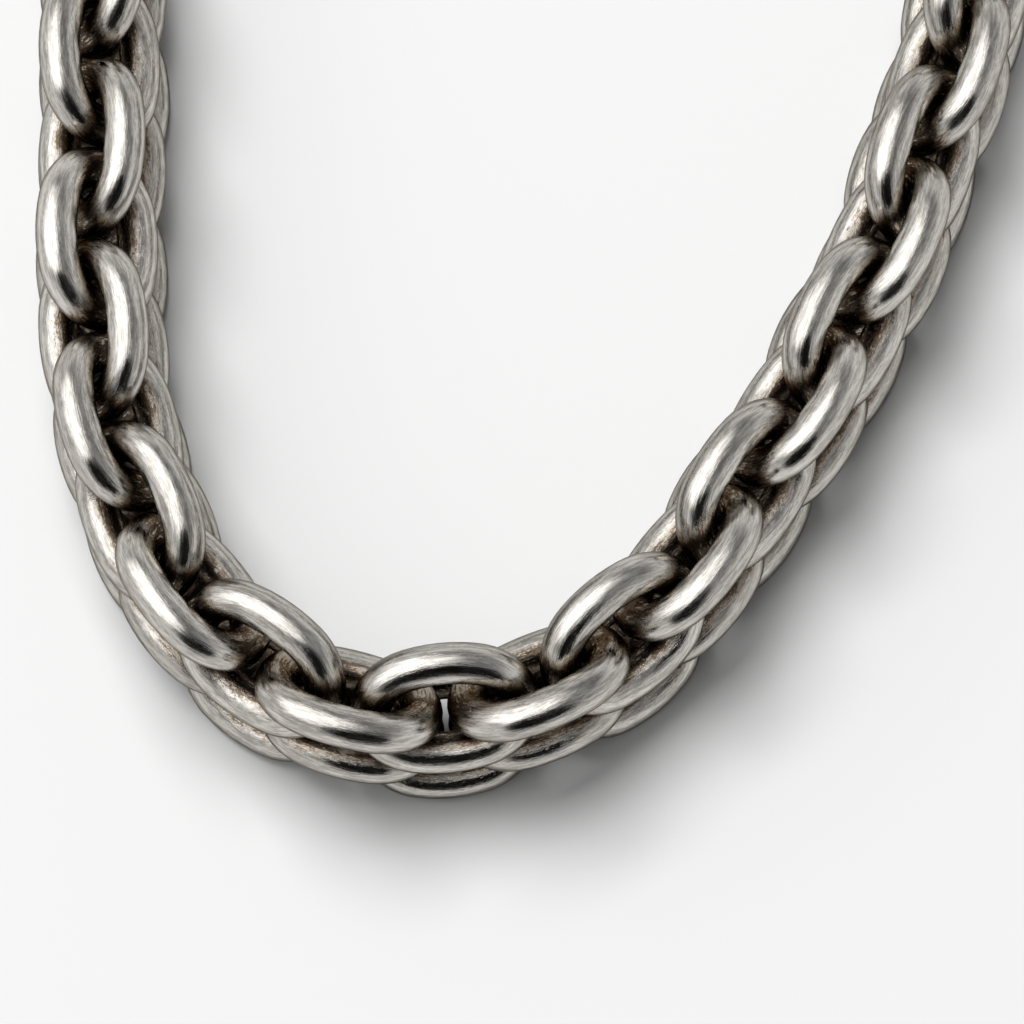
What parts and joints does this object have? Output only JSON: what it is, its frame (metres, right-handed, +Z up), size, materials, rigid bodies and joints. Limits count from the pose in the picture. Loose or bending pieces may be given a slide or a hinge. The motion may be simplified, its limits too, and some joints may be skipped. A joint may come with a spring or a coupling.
{
  "type": "link chain necklace",
  "caption": "Double cable chain necklace of round-wire oval links, one chain lying on the other, closed by a plain clasp.",
  "frame": {"origin": "middle of the outline seen from above, at the height of the surface that the necklace lies on", "axes": "+Z up; -Y is the bend that hangs in front, +Y is the clasp; +X is to the right seen from the front and above"},
  "size_m": [0.0916, 0.197, 0.0177],
  "materials": {
    "bright_links": "satin silver with dark tarnish in the recesses",
    "shaded_links": "satin silver with dark tarnish in the recesses",
    "clasp_metal": "satin silver"
  },
  "bodies": {
    "root": {"upper_strand": "bright_links", "lower_strand": "shaded_links", "clasp": "clasp_metal"}
  },
  "joints": []
}
